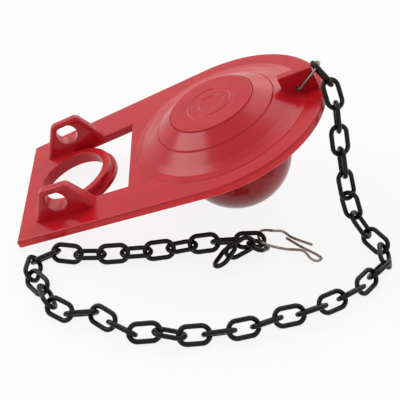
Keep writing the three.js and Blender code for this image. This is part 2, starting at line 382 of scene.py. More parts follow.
@dataclass(frozen=True)
class SteelWireFinish:
    """Greyish brown steel wire with fine lines and a few tarnished places. Lengths are metres."""

    steel: Triple = (0.270, 0.232, 0.210)
    tarnish: Triple = (0.120, 0.088, 0.072)
    rim: Triple = (0.400, 0.350, 0.320)
    tarnish_share: float = 0.8
    tarnish_ends: Pair = (0.48, 0.70)
    patch_size: float = 0.004
    reliefs: tuple[Triple, ...] = ((0.00022, 0.000012, 1.0),)
    smoothest: float = 0.22
    roughest: float = 0.42

    def make(self) -> Material:
        """Makes the material."""
        made, wiring, shader, place = new_material("steel_wire")
        patch = wiring.noise(place, self.patch_size, detail=5.0)
        share = wiring.spread(patch, 0.0, self.tarnish_share, self.tarnish_ends)
        wiring.fill(shader, {
            "Base Color": wiring.blend(share, self.steel, self.tarnish),
            "Roughness": wiring.spread(patch, self.smoothest, self.roughest),
            "Normal": wiring.reliefs(place, self.reliefs),
            "Metallic": 1.0,
            "Specular Tint": opaque(self.rim),
        })
        return made


# ---- shapes


@contextmanager
def edited(mesh: Mesh) -> Iterator[bmesh.types.BMesh]:
    """Opens a mesh for work on its corners and faces, and keeps the result in it."""
    work = bmesh.new()
    work.from_mesh(mesh)
    yield work
    work.to_mesh(mesh)
    work.free()


def mesh_from(points: list[Vector], faces: list[tuple[int, ...]]) -> Mesh:
    """Makes a mesh with no doubled points, facing outwards.

    Args:
        points: Corner points.
        faces: Corner numbers of each face.

    Returns:
        The mesh.
    """
    made = bpy.data.meshes.new("shape")
    made.from_pydata([tuple(point) for point in points], [], faces)
    with edited(made) as work:
        bmesh.ops.remove_doubles(work, verts=work.verts, dist=WELD)
        bmesh.ops.recalc_face_normals(work, faces=work.faces)
    return made


def shown(name: str, data: ID) -> Object:
    """Puts a mesh, a lamp or a camera in the scene as an object at the origin."""
    made = bpy.data.objects.new(name, data)
    bpy.context.scene.collection.objects.link(made)
    return made


def flattened(name: str, source: Object) -> Object:
    """Turns an object and its modifiers into a plain mesh object.

    Args:
        name: Name of the result.
        source: The object, which is removed.

    Returns:
        The plain object.
    """
    view = bpy.context.evaluated_depsgraph_get()
    mesh = bpy.data.meshes.new_from_object(source.evaluated_get(view), depsgraph=view)
    mesh.name = name
    bpy.data.objects.remove(source)
    return shown(name, mesh)


def circle(middle: Point, radius: float, count: int) -> list[Point]:
    """Returns the corners of a circle, counter-clockwise.

    Args:
        middle: Its middle.
        radius: Its radius.
        count: Number of corners.
    """
    angles = [2 * math.pi * k / count for k in range(count)]
    return [(middle[0] + radius * math.cos(a), middle[1] + radius * math.sin(a)) for a in angles]


def rounded_turn(
    points: list[Point], radius: float, steps: int = 4, largest: float = 0.45
) -> list[Point]:
    """Rounds the inner corners of an open line of points.

    Args:
        points: The line.
        radius: Distance from a corner at which its rounding starts.
        steps: Pieces in each rounding.
        largest: Largest share of a side that one rounding may take.

    Returns:
        The rounded line.
    """
    result = [points[0]]
    for before, corner, after in zip(points, points[1:], points[2:]):
        here = Vector(corner)
        back, ahead = Vector(before) - here, Vector(after) - here
        reach = min(radius, largest * back.length, largest * ahead.length)
        start, end = here + back.normalized() * reach, here + ahead.normalized() * reach
        for step in range(steps + 1):
            share = step / steps
            bend = start.lerp(here, share).lerp(here.lerp(end, share), share)
            result.append((bend.x, bend.y))
    result.append(points[-1])
    return result


def turned(sections: list[list[Point]], ahead: float = 0.0) -> Mesh:
    """Joins sections at even steps round an upright axis.

    Args:
        sections: Points of radius and height at each step. They run from axis to axis, or else
            round a closed outline.
        ahead: X of the axis.

    Returns:
        The closed mesh.
    """
    points: list[Vector] = []
    faces: list[tuple[int, ...]] = []
    turns, count = len(sections), len(sections[0])
    sides = count if sections[0][0][0] > 0.0 else count - 1
    for turn, section in enumerate(sections):
        angle = 2 * math.pi * turn / turns
        points += [Vector((r * math.cos(angle) + ahead, r * math.sin(angle), z)) for r, z in section]
        here, there = turn * count, (turn + 1) % turns * count
        for k in range(sides):
            n = (k + 1) % count
            faces.append((here + k, there + k, there + n, here + n))
    return mesh_from(points, faces)


def drum(radius: float, levels: Pair, segments: int, ahead: float = 0.0) -> Mesh:
    """Builds an upright cylinder.

    Args:
        radius: Its radius.
        levels: Heights of its ends.
        segments: Number of steps round it.
        ahead: X of its axis.

    Returns:
        The closed mesh.
    """
    low, high = levels
    section = [(0.0, low), (radius, low), (radius, high), (0.0, high)]
    return turned([section] * segments, ahead)


@dataclass
class Slab:
    """A flat piece with rounded edges: an outline with holes, between two levels.

    Attributes:
        outline: Corners of the outline, counter-clockwise.
        low: Lower level.
        high: Upper level.
        edge: Radius of its rounded edges.
        holes: Corners of each hole, counter-clockwise.
        hole_edge: Radius of the holes' rounded edges.
        steps: Pieces in each rounded edge.
        least: Least cosine of half a corner's turn that its move allows for.
    """

    outline: list[Point]
    low: float
    high: float
    edge: float
    holes: list[list[Point]] = field(default_factory=list)
    hole_edge: float = 0.4
    steps: int = 5
    least: float = 0.3

    def mesh(self) -> Mesh:
        """Builds the slab as a closed mesh."""
        work = bmesh.new()
        caps: dict[bool, list[bmesh.types.BMEdge]] = {False: [], True: []}
        for number, loop in enumerate([self.outline, *self.holes]):
            side, edge = (1.0, self.edge) if number == 0 else (-1.0, self.hole_edge)
            rings = [
                [work.verts.new((*corner, level)) for corner in self._moved(loop, side * inset)]
                for inset, level in self._levels(edge)
            ]
            for lower, upper in zip(rings, rings[1:]):
                for k in range(len(loop)):
                    n = (k + 1) % len(loop)
                    work.faces.new((lower[k], lower[n], upper[n], upper[k]))
            for top, ring in ((False, rings[0]), (True, rings[-1])):
                pairs = zip(ring, ring[1:] + ring[:1])
                caps[top] += [work.edges.get(pair) for pair in pairs]
        for edges in caps.values():
            bmesh.ops.triangle_fill(work, edges=edges, use_beauty=True)
        bmesh.ops.recalc_face_normals(work, faces=work.faces)
        made = bpy.data.meshes.new("slab")
        work.to_mesh(made)
        work.free()
        return made

    def _levels(self, edge: float) -> list[Point]:
        """Lists the rings of one loop.

        Args:
            edge: Radius of its rounded edges.

        Returns:
            Inset and height of each ring, from the lower cap to the upper one.
        """
        arc = [0.5 * math.pi * k / self.steps for k in range(self.steps + 1)]
        below = [(edge * (1 - math.sin(a)), self.low + edge * (1 - math.cos(a))) for a in arc]
        above = [(inset, self.high + self.low - level) for inset, level in reversed(below)]
        return below + above

    def _moved(self, loop: list[Point], inset: float) -> list[Point]:
        """Moves each side of a counter-clockwise loop inwards.

        Args:
            loop: Its corners.
            inset: Distance inwards; outwards where negative.

        Returns:
            The moved corners.
        """
        result = []
        for before, corner, after in zip(loop[-1:] + loop[:-1], loop, loop[1:] + loop[:1]):
            here = Vector(corner)
            one, two = (here - Vector(before)).normalized(), (Vector(after) - here).normalized()
            normal = Vector((-one.y - two.y, one.x + two.x)).normalized()
            stretch = max(normal.dot(Vector((-one.y, one.x))), self.least)
            moved = here + normal * (inset / stretch)
            result.append((moved.x, moved.y))
        return result


def joined(name: str, parts: list[tuple[str, Mesh]]) -> Object:
    """Joins meshes to one closed shell, or cuts them from it.

    Args:
        name: Name of the result.
        parts: "UNION" or "DIFFERENCE" and a mesh, in order; the first is the start.

    Returns:
        The joined object.
    """
    result = shown(name, parts[0][1])
    for operation, mesh in parts[1:]:
        tool = shown("tool", mesh)
        step = result.modifiers.new("join", "BOOLEAN")
        step.operation = operation
        step.solver = "EXACT"
        step.object = tool
        result = flattened(name, result)
        bpy.data.objects.remove(tool)
    return result


# ---- moulding


@dataclass
class Moulding:
    """Rubber moulding: seat disc with dome and bulb, plate with window, collar, ears and lift tab.

    Lengths are millimetres, as in the part's own drawing, where the plate is level and the middle
    of the disc's top is the origin. A pair of an ear's sizes has the far ear's first. The collar's
    lip ends, and its top drops out of sight, at degrees from straight ahead. The flank's points are
    shares of the way in from the foot and of the shoulder's height.
    """

    disc_radius: float = 43.0
    plate_thickness: float = 3.6
    plate_reach: float = 86.0
    back_half_width: float = 32.0
    edge: float = 0.9
    disc_segments: int = 192
    ring_segments: int = 160

    crown_radius: float = 17.0
    crown_height: float = 9.0
    shoulder_radius: float = 24.0
    shoulder_height: float = 5.2
    foot_radius: float = 36.0
    foot_height: float = 0.15
    flank: tuple[Point, ...] = ((0.25, 0.12), (0.5, 0.35))
    step_drop: float = 0.4
    step_width: float = 0.3
    step_round: float = 0.15
    shoulder_groove: float = 1.6
    crown_groove: float = 2.0
    crown_rings: Triple = (9.9, 7.9, 5.2)
    ring_drop: float = 0.22

    bulb_radius: float = 22.5
    bulb_centre_depth: float = 16.6
    bulb_wall: float = 2.2
    bulb_steps: int = 36
    roof_round: float = 1.0
    bleed_hole_radius: float = 4.0

    window_front: float = 39.0
    window_half_width: float = 21.3
    arm_splay: float = math.radians(5.5)
    collar_offset: float = 65.0
    collar_bore_radius: float = 13.8
    collar_wall: float = 3.2
    collar_depth: float = 5.0
    collar_lip: float = 1.4
    collar_lip_thickness: float = 2.0
    collar_groove: float = 0.4
    collar_round: float = 0.35
    collar_clear: float = 0.03
    collar_drop: Pair = (0.02, 1.0)
    lip_end: Pair = (89.0, 91.0)
    drop_start: Pair = (98.0, 102.0)

    ear_thickness: Pair = (6.2, 7.2)
    ear_height: Pair = (13.6, 13.2)
    ear_taper: float = 0.38
    ear_base_half: float = 13.0
    ear_top_back: float = 4.5
    ear_top_front: float = 7.0
    ear_hole_radius: float = 4.4
    ear_hole_height: Pair = (7.8, 7.3)
    ear_round: float = 1.6
    ear_edge: float = 1.7
    ear_foot: float = 2.7
    ear_hole_segments: int = 64

    tab_length: float = 13.6
    tab_setback: float = 2.0
    tab_thickness: float = 3.5
    tab_height: float = 9.0
    tab_hole_radius: float = 0.9
    tab_hole_inset: float = 5.6
    tab_hole_height: float = 2.0
    tab_hole_segments: int = 32
    tab_edge: float = 0.35
    crease: float = math.radians(32)

    def tilt(self) -> float:
        """Returns the angle at which the plate's back edge and the bulb both touch the surface."""
        drop = self.bulb_centre_depth - self.plate_thickness
        span = math.hypot(self.plate_reach, drop)
        return math.atan2(drop, self.plate_reach) + math.asin(self.bulb_radius / span)

    def arm_edge(self, behind: float) -> float:
        """Returns half the window's width at a distance behind the disc's middle."""
        return self.window_half_width - math.tan(self.arm_splay) * (behind - self.window_front)

    def plate(self) -> Mesh:
        """Builds the plate with its window."""
        reach = math.hypot(self.plate_reach, self.back_half_width)
        turn = math.atan2(self.back_half_width, self.plate_reach)
        tangent = math.pi - turn - math.acos(self.disc_radius / reach)
        steps = self.disc_segments
        angles = [tangent * (2 * k / steps - 1) for k in range(steps + 1)]
        outline = [(self.disc_radius * math.cos(a), self.disc_radius * math.sin(a)) for a in angles]
        outline += [(-self.plate_reach, side * self.back_half_width) for side in (1, -1)]
        back = self.arm_edge(self.collar_offset)
        window = [
            (-self.window_front, -self.window_half_width),
            (-self.window_front, self.window_half_width),
            (-self.collar_offset, back),
            (-self.collar_offset, -back),
        ]
        return Slab(outline, -self.plate_thickness, 0.0, self.edge, [window], self.edge).mesh()

    def dome(self) -> Mesh:
        """Builds the dome, the bulb and the air space in them, open at the bleed hole."""
        inner = self.bulb_radius - self.bulb_wall
        crown = self.crown_height
        ring_outer, ring_inner, ring_core = self.crown_rings
        ring_low = crown - self.ring_drop
        span = self.foot_radius - self.shoulder_radius
        top = [
            (self.foot_radius, -0.5 * self.plate_thickness),
            (self.foot_radius, self.foot_height),
            *[(self.foot_radius - far * span, up * self.shoulder_height) for far, up in self.flank],
            *self._step(self.shoulder_radius, self.shoulder_height, self.shoulder_groove),
            *self._step(self.crown_radius, crown, self.crown_groove),
            (ring_outer, crown),
            (ring_outer - self.step_width, ring_low),
            (ring_inner + self.step_width, ring_low),
            (ring_inner, crown),
            (ring_core, crown),
            (ring_core - self.step_width, ring_low),
            (0.0, ring_low),
        ]
        roof = [
            (0.0, crown - self.bulb_wall),
            (self.crown_radius - self.bulb_wall, crown - self.bulb_wall),
            (inner, self.shoulder_height - self.bulb_wall),
        ]
        inside = self._sphere(inner)
        outside = self._sphere(self.bulb_radius)[::-1]
        neck = [(self.bulb_radius, -0.5 * self.plate_thickness)]
        profile = [
            *rounded_turn(roof + inside[:1], self.roof_round),
            *inside[1:],
            *outside,
            *neck,
            *rounded_turn(top, self.step_round),
        ]
        return turned([profile] * self.disc_segments)

    def _step(self, radius: float, height: float, groove: float) -> list[Point]:
        """Returns the groove and the sharp rim of one of the dome's steps.

        Args:
            radius: Radius of the step's rim.
            height: Height of the step's rim.
            groove: Depth of the groove outside it, in drops of the step.
        """
        return [
            (radius + 2 * self.step_width, height - self.step_drop),
            (radius + self.step_width, height - groove * self.step_drop),
            (radius, height),
        ]

    def _sphere(self, radius: float) -> list[Point]:
        """Returns the bulb's curve from its middle to the bleed hole, as radius and height."""
        end = -math.acos(self.bleed_hole_radius / radius)
        angles = [end * k / self.bulb_steps for k in range(self.bulb_steps + 1)]
        return [(radius * math.cos(a), radius * math.sin(a) - self.bulb_centre_depth) for a in angles]

    def collar(self) -> Mesh:
        """Builds the collar, with a lip and a groove on its front half."""
        sections = []
        least, most = self.collar_drop
        for k in range(self.ring_segments):
            turn = 360.0 * k / self.ring_segments
            facing = min(turn, 360.0 - turn)
            lip = self._share(facing, *self.lip_end[::-1])
            drop = max(least, most * self._share(facing, *self.drop_start))
            sections.append(self._collar_profile(lip, -drop))
        return turned(sections, -self.collar_offset)

    @staticmethod
    def _share(value: float, none: float, full: float) -> float:
        """Returns how far a value is on its way between two ends, from 0 to 1."""
        return max(0.0, min(1.0, (value - none) / (full - none)))

    def _collar_profile(self, lip: float, top: float) -> list[Point]:
        """Returns the collar's closed section.

        Args:
            lip: How far its lip stands out, from 0 to 1.
            top: Height of its upper face.

        Returns:
            Points of radius and height.
        """
        bore = self.collar_bore_radius + self.collar_clear
        outer = self.collar_bore_radius + self.collar_wall
        rim = outer + lip * self.collar_lip
        lip_top = self.collar_lip_thickness - self.collar_depth
        groove = self.collar_groove
        section = [
            (bore, -0.5 * self.collar_depth),
            (bore, -self.collar_depth),
            (rim, -self.collar_depth),
            (rim, lip_top),
            (outer - groove, lip_top),
            (outer - groove, lip_top + 2 * groove),
            (outer, lip_top + 3 * groove),
            (outer, top),
            (bore, top),
            (bore, -0.5 * self.collar_depth),
        ]
        return rounded_turn(section, self.collar_round)[:-1]

    def ear(self, side: int) -> Mesh:
        """Builds one hinge ear, which gets thinner towards its top on the side away from the chain.

        Args:
            side: 1 for the far ear, -1 for the near one.

        Returns:
            The ear in place.
        """
        which = 0 if side > 0 else 1
        thickness, height = self.ear_thickness[which], self.ear_height[which]
        base, depth = self.ear_base_half, -self.ear_foot
        corners = [
            (base, 0.0),
            (self.ear_top_front, height),
            (-self.ear_top_back, height),
            (-base, 0.0),
        ]
        outline = [(-base, depth), (base, depth), *rounded_turn(corners, self.ear_round, 6)]
        middle = (0.0, self.ear_hole_height[which])
        hole = circle(middle, self.ear_hole_radius, self.ear_hole_segments)
        made = Slab(outline, 0.0, thickness, self.ear_edge, [hole]).mesh()
        for corner in made.vertices:
            share = 1.0 - self.ear_taper * max(corner.co.y, 0.0) / height
            corner.co.z = thickness - (thickness - corner.co.z) * share
        made.transform(Matrix.Rotation(math.pi / 2, 4, "X"))
        made.transform(Matrix.Translation((0.0, thickness if side > 0 else 0.0, 0.0)))
        made.transform(Matrix.Rotation(side * self.arm_splay, 4, "Z"))
        edge = side * self.arm_edge(self.collar_offset)
        made.transform(Matrix.Translation((-self.collar_offset, edge, 0.0)))
        return made

    def tab(self) -> Mesh:
        """Builds the lift tab with the hole for the front clip."""
        end = self.disc_radius - self.tab_setback
        start = end - self.tab_length
        depth = -0.5 * self.plate_thickness
        outline = [(start, depth), (end, depth), (end, self.tab_height), (start, self.tab_height)]
        middle = (start + self.tab_hole_inset, self.tab_hole_height)
        hole = circle(middle, self.tab_hole_radius, self.tab_hole_segments)
        half = 0.5 * self.tab_thickness
        made = Slab(outline, -half, half, self.tab_edge, [hole]).mesh()
        made.transform(Matrix.Rotation(math.pi / 2, 4, "X"))
        return made

    def build(self, finish: Material) -> Object:
        """Builds the moulding in its place.

        Args:
            finish: Its material.

        Returns:
            The finished piece, which stands for its CAD node.
        """
        inner = self.bulb_radius - self.bulb_wall
        cavity = drum(inner, (-2 * self.plate_thickness, 0.1), self.disc_segments)
        reach = 2 * self.collar_depth
        levels = (-reach, reach)
        bore = drum(self.collar_bore_radius, levels, self.ring_segments, -self.collar_offset)
        piece = joined("rubber_moulding", [
            ("UNION", self.plate()),
            ("DIFFERENCE", cavity),
            ("DIFFERENCE", bore),
            ("UNION", self.dome()),
            ("UNION", self.collar()),
            ("UNION", self.ear(1)),
            ("UNION", self.ear(-1)),
            ("UNION", self.tab()),
        ])
        piece.data.transform(self.place())
        piece = self._smoothed(piece)
        piece.data.materials.clear()
        piece.data.materials.append(finish)
        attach(piece, ROOT)
        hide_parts("flapper_body")
        return piece

    def place(self) -> Matrix:
        """Returns the move from the drawing, in millimetres, to the frame, in metres."""
        tilt = self.tilt()
        low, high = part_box("flapper_body")
        back_low = -self.plate_reach * math.cos(tilt)
        lift = self.plate_reach * math.sin(tilt) + self.plate_thickness * math.cos(tilt)
        shift = Vector((low.x - back_low * MM, 0.5 * (low.y + high.y), lift * MM))
        return Matrix.Translation(shift) @ Matrix.Rotation(-tilt, 4, "Y") @ Matrix.Scale(MM, 4)

    def _smoothed(self, piece: Object) -> Object:
        """Shades the piece smoothly, with its flat faces kept flat."""
        with edited(piece.data) as work:
            bmesh.ops.dissolve_degenerate(work, edges=work.edges, dist=SLIVER)
        piece.data.polygons.foreach_set("use_smooth", [True] * len(piece.data.polygons))
        piece.data.set_sharp_from_angle(angle=self.crease)
        weighted = piece.modifiers.new("even shading", "WEIGHTED_NORMAL")
        weighted.keep_sharp = True
        return flattened(piece.name, piece)


# ---- chain


@dataclass
class GeometryGroup:
    """A Geometry Nodes group with named inputs.

    Attributes:
        name: Name of the group.
        sizes: Default value of each number that it takes.
    """

    name: str
    sizes: dict[str, float]
    tree: NodeTree = field(init=False)

    def start(self) -> tuple[Wiring, Node]:
        """Makes the group's inputs and outputs.

        Returns:
            The wiring and the node that gives the inputs.
        """
        self.tree = bpy.data.node_groups.new(self.name, "GeometryNodeTree")
        face = self.tree.interface
        face.new_socket("Geometry", in_out="INPUT", socket_type="NodeSocketGeometry")
        for name, value in self.sizes.items():
            kind = "NodeSocketInt" if isinstance(value, int) else "NodeSocketFloat"
            face.new_socket(name, in_out="INPUT", socket_type=kind).default_value = value
        face.new_socket("Finish", in_out="INPUT", socket_type="NodeSocketMaterial")
        face.new_socket("Geometry", in_out="OUTPUT", socket_type="NodeSocketGeometry")
        wiring = Wiring(self.tree)
        return wiring, wiring.node("NodeGroupInput")

    @staticmethod
    def close(wiring: Wiring, given: Node, shape: NodeSocket) -> None:
        """Ends the group: makes instances real, shades them smoothly and gives them their finish."""
        real = wiring.node("GeometryNodeRealizeInstances", {0: shape})
        smooth = wiring.node("GeometryNodeSetShadeSmooth", {0: real.outputs[0]})
        finish = given.outputs["Finish"]
        dressed = wiring.node("GeometryNodeSetMaterial", {0: smooth.outputs[0], "Material": finish})
        wiring.node("NodeGroupOutput", {0: dressed.outputs[0]})

    def applied(self, name: str, base: Mesh, finish: Material) -> Object:
        """Runs the group on a mesh and keeps the result as a plain mesh.

        Args:
            name: Name of the piece.
            base: Mesh that the group starts from.
            finish: Its material.

        Returns:
            The piece.
        """
        source = shown("source", base)
        step = source.modifiers.new("group", "NODES")
        step.node_group = self.tree
        for item in self.tree.interface.items_tree:
            if item.in_out != "INPUT" or item.name == "Geometry":
                continue
            step[item.identifier] = finish if item.name == "Finish" else self.sizes[item.name]
        return flattened(name, source)


@dataclass(frozen=True)
class LinkPose:
    """Where one link lies: its middle, and unit vectors along it and across its flat side."""

    middle: Vector
    along: Vector
    across: Vector

    @staticmethod
    def of_node(name: str) -> "LinkPose":
        """Reads the pose of a link from its CAD node.

        Args:
            name: Name of the node.

        Returns:
            The pose.
        """
        corners = np.array([v.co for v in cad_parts[name].data.vertices])
        corners = np.unique(corners.round(7), axis=0)
        middle = 0.5 * (corners.max(0) + corners.min(0))
        spread = np.linalg.eigh(np.cov((corners - corners.mean(0)).T))[1]
        along, across = spread[:, 2], spread[:, 1]
        local = (corners - middle) @ np.column_stack([along, across])
        offset = 0.5 * (local.max(0) + local.min(0))
        middle = middle + offset[0] * along + offset[1] * across
        return LinkPose(Vector(middle), Vector(along), Vector(across))


@dataclass
class Chain:
    """Plastic lift chain of closed oval links.

    Lengths are millimetres, and the seam's height is a share of the wire's radius. The smooth links
    stay shy of the drawing's sizes all round, so that none stands out of its CAD link.
    """

    count: int = 42
    length: float = 13.1
    width: float = 8.2
    wire: float = 1.9
    shy: float = 0.06
    path_points: int = 40
    section_points: int = 14
    seam: float = 0.025
    seam_sharpness: float = 24.0
    scales: Pair = (0.992, 1.0)
    seed: int = 7

    def names(self) -> list[str]:
        """Returns the names of the links' CAD nodes."""
        return [f"chain_link_{number:02d}" for number in range(1, self.count + 1)]

    def group(self) -> GeometryGroup:
        """Builds the group that puts an oval link on each point."""
        group = GeometryGroup("chain_links", {
            "Link Length": (self.length - 2 * self.shy) * MM,
            "Link Width": (self.width - 2 * self.shy) * MM,
            "Wire Diameter": (self.wire - self.shy) * MM,
            "Path Points": self.path_points,
            "Section Points": self.section_points,
            "Seam Height": self.seam,
            "Seed": self.seed,
        })
        wiring, given = group.start()
        size = given.outputs
        across_wire = wiring.math("SUBTRACT", size["Link Width"], size["Wire Diameter"])
        extra = wiring.math("SUBTRACT", size["Link Length"], size["Link Width"])
        stretch = wiring.math("MULTIPLY", extra, 0.5)
        ring = wiring.circle(size["Path Points"], wiring.math("MULTIPLY", across_wire, 0.5))
        spot = wiring.node("GeometryNodeInputPosition").outputs[0]
        parts = wiring.node("ShaderNodeSeparateXYZ", {0: spot})
        pushed = wiring.math("MULTIPLY", wiring.math("SIGN", parts.outputs["X"]), stretch)
        push = wiring.node("ShaderNodeCombineXYZ", {"X": pushed})
        oval = wiring.node("GeometryNodeSetPosition", {"Geometry": ring, "Offset": push.outputs[0]})
        level = wiring.node("GeometryNodeSetCurveNormal", {"Curve": oval.outputs[0]}, mode="Z_UP")
        section = self._section(wiring, size, parts)
        sweep = {"Curve": level.outputs[0], "Profile Curve": section}
        solid = wiring.node("GeometryNodeCurveToMesh", sweep)
        turn = wiring.node(
            "FunctionNodeAxesToRotation",
            {0: self._direction(wiring, "along"), 1: self._direction(wiring, "across")},
            primary_axis="X",
            secondary_axis="Y",
        )
        nodes = wiring.node("GeometryNodeMeshToPoints", {"Mesh": size["Geometry"]})
        uneven = wiring.node("FunctionNodeRandomValue", {"Seed": size["Seed"]}, data_type="FLOAT")
        uneven.inputs[2].default_value, uneven.inputs[3].default_value = self.scales
        placed = wiring.node(
            "GeometryNodeInstanceOnPoints",
            {
                "Points": nodes.outputs[0],
                "Instance": solid.outputs[0],
                "Rotation": turn.outputs[0],
                "Scale": uneven.outputs[1],
            },
        )
        group.close(wiring, given, placed.outputs[0])
        return group

    @staticmethod
    def _direction(wiring: Wiring, name: str) -> NodeSocket:
        """Returns the output of a node that reads a direction stored on the points."""
        kind = "GeometryNodeInputNamedAttribute"
        return wiring.node(kind, {"Name": name}, data_type="FLOAT_VECTOR").outputs[0]

    def _section(self, wiring: Wiring, size: NodeOutputs, parts: Node) -> NodeSocket:
        """Builds the link's round section, with the fine ridge that the mould leaves on both sides.

        Args:
            wiring: Wiring of the group.
            size: Inputs that the group is given.
            parts: Node that splits a point's place.

        Returns:
            The section's curve.
        """
        radius = wiring.math("MULTIPLY", size["Wire Diameter"], 0.5)
        ring = wiring.circle(size["Section Points"], radius)
        share = wiring.math("DIVIDE", wiring.math("ABSOLUTE", parts.outputs["X"]), radius)
        rise = wiring.math("POWER", share, self.seam_sharpness)
        ridge = wiring.math("MULTIPLY", rise, size["Seam Height"])
        spot = wiring.node("GeometryNodeInputPosition").outputs[0]
        scaled = wiring.node("ShaderNodeVectorMath", {0: spot, "Scale": ridge}, operation="SCALE")
        move = {"Geometry": ring, "Offset": scaled.outputs[0]}
        return wiring.node("GeometryNodeSetPosition", move).outputs[0]

    def build(self, finish: Material) -> Object:
        """Builds the chain where its CAD links lie.

        Args:
            finish: Its material.

        Returns:
            The finished piece, which stands for the CAD nodes of the links.
        """
        poses = [LinkPose.of_node(name) for name in self.names()]
        base = bpy.data.meshes.new("link_places")
        base.from_pydata([tuple(pose.middle) for pose in poses], [], [])
        for name in ("along", "across"):
            values = [component for pose in poses for component in getattr(pose, name)]
            base.attributes.new(name, "FLOAT_VECTOR", "POINT").data.foreach_set("vector", values)
        piece = self.group().applied("lift_chain", base, finish)
        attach(piece, ROOT)
        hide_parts(*self.names())
        return piece


# ---- clips


def smooth_route(points: list[Vector], steps: int) -> list[Vector]:
    """Runs an even curve through points, tight at close ones.

    Args:
        points: Points on the way.
        steps: Number of pieces between each two of them.

    Returns:
        Points of the curve.
    """
    ends = [2 * points[0] - points[1], *points, 2 * points[-1] - points[-2]]
    result = [points[0]]
    for p0, p1, p2, p3 in zip(ends, ends[1:], ends[2:], ends[3:]):
        t1 = (p1 - p0).length ** 0.5
        t2 = t1 + (p2 - p1).length ** 0.5
        t3 = t2 + (p3 - p2).length ** 0.5
        for k in range(1, steps + 1):
            t = t1 + (t2 - t1) * k / steps
            a1 = p0.lerp(p1, t / t1)
            a2 = p1.lerp(p2, (t - t1) / (t2 - t1))
            a3 = p2.lerp(p3, (t - t2) / (t3 - t2))
            b1 = a1.lerp(a2, t / t2)
            b2 = a2.lerp(a3, (t - t1) / (t3 - t1))
            result.append(b1.lerp(b2, (t - t1) / (t2 - t1)))
    return result


@dataclass
class WireClip:
    """A clip of one bent wire.

    Attributes:
        piece: Name of the piece.
        node: Name of its CAD node.
        route: Points on the middle of the wire, in metres.
        wire: Diameter of the wire in millimetres.
        steps: Pieces of the curve between two points.
        section_points: Corners of the wire's section.
        crease: Angle from which an edge is sharp.
    """

    piece: str
    node: str
    route: list[Vector]
    wire: float = 1.05
    steps: int = 8
    section_points: int = 16
    crease: float = math.radians(50)

    def group(self) -> GeometryGroup:
        """Builds the group that runs a round wire along the route."""
        group = GeometryGroup(f"{self.piece}_wire", {
            "Wire Diameter": self.wire * MM,
            "Section Points": self.section_points,
        })
        wiring, given = group.start()
        size = given.outputs
        path = wiring.node("GeometryNodeMeshToCurve", {"Mesh": size["Geometry"]})
        radius = wiring.math("MULTIPLY", size["Wire Diameter"], 0.5)
        section = wiring.circle(size["Section Points"], radius)
        sweep = {"Curve": path.outputs[0], "Profile Curve": section, "Fill Caps": True}
        solid = wiring.node("GeometryNodeCurveToMesh", sweep)
        group.close(wiring, given, solid.outputs[0])
        return group

    def build(self, finish: Material) -> Object:
        """Builds the clip.

        Args:
            finish: Its material.

        Returns:
            The finished piece, which stands for its CAD node.
        """
        points = smooth_route(self.route, self.steps)
        base = bpy.data.meshes.new("wire_route")
        edges = [(k, k + 1) for k in range(len(points) - 1)]
        base.from_pydata([tuple(point) for point in points], edges, [])
        piece = self.group().applied(self.piece, base, finish)
        piece.data.set_sharp_from_angle(angle=self.crease)
        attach(piece, ROOT)
        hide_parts(self.node)
        return piece


@dataclass
class ClipRoutes:
    """Ways of both clips' wires.

    Attributes:
        reach: How far the front clip stands out from the tab's hole, in millimetres.
        gap: Clearance between the front clip and the tab, in millimetres.
        wire: Diameter of the wire, in millimetres.
        front: Front clip: ahead and up in shares of its reach, across in shares of half its width.
        end: End clip, in link lengths from the joint before the chain's knot.
        lying_play: Slack between two links on the surface, in millimetres.
        last_lying: Number of the last link before the knot.
    """

    reach: float = 11.1
    gap: float = 0.3
    wire: float = 1.05
    front: tuple[Triple, ...] = (
        (0.414, 1, 0.234),
        (0.234, 1, 0.09),
        (0.09, 1, 0.009),
        (0, 0.5, 0),
        (0, -0.5, 0),
        (0.09, -1, 0.009),
        (0.306, -1, 0.171),
        (0.622, -1, 0.378),
        (0.838, -0.796, 0.505),
        (0.973, -0.427, 0.577),
        (1, 0, 0.586),
        (0.973, 0.427, 0.577),
        (0.838, 0.796, 0.514),
        (0.622, 1, 0.396),
        (0.486, 1, 0.297),
    )
    end: tuple[Triple, ...] = (
        (2.207, 0.024, -0.214),
        (1.627, 0.383, -0.214),
        (1.360, 0.612, -0.168),
        (1.080, 0.548, -0.092),
        (0.818, 0.725, -0.215),
        (0.625, 0.339, -0.022),
        (0.615, 0.234, -0.036),
        (0.690, -0.263, 0.135),
        (0.950, -0.251, -0.014),
        (1.426, -0.191, -0.194),
        (1.906, -0.408, -0.091),
        (2.093, -0.640, -0.168),
        (2.261, -0.716, -0.206),
        (2.413, -0.594, -0.214),
        (2.307, -0.441, -0.214),
        (1.910, -0.098, -0.214),
        (1.467, 0.345, -0.214),
    )
    lying_play: float = 0.5
    last_lying: int = 38

    def front_route(self, moulding: Moulding) -> list[Vector]:
        """Returns the front clip's way, in the frame."""
        start = moulding.disc_radius - moulding.tab_setback - moulding.tab_length
        hole = Vector((start + moulding.tab_hole_inset, 0.0, moulding.tab_hole_height))
        half = 0.5 * moulding.tab_thickness + self.gap + 0.5 * self.wire
        offsets = [Vector((x * self.reach, y * half, z * self.reach)) for x, y, z in self.front]
        return [moulding.place() @ (hole + offset) for offset in offsets]

    def end_route(self, chain: Chain) -> list[Vector]:
        """Returns the end clip's way, in the frame."""
        last = LinkPose.of_node(f"chain_link_{self.last_lying:02d}")
        before = LinkPose.of_node(f"chain_link_{self.last_lying - 1:02d}")
        along = last.along if last.along.dot(last.middle - before.middle) > 0 else -last.along
        pitch = chain.length - 2 * chain.wire - self.lying_play
        joint = last.middle + along * (0.5 * pitch * MM)
        return [joint + Vector(offset) * (chain.length * MM) for offset in self.end]


# ---- studio


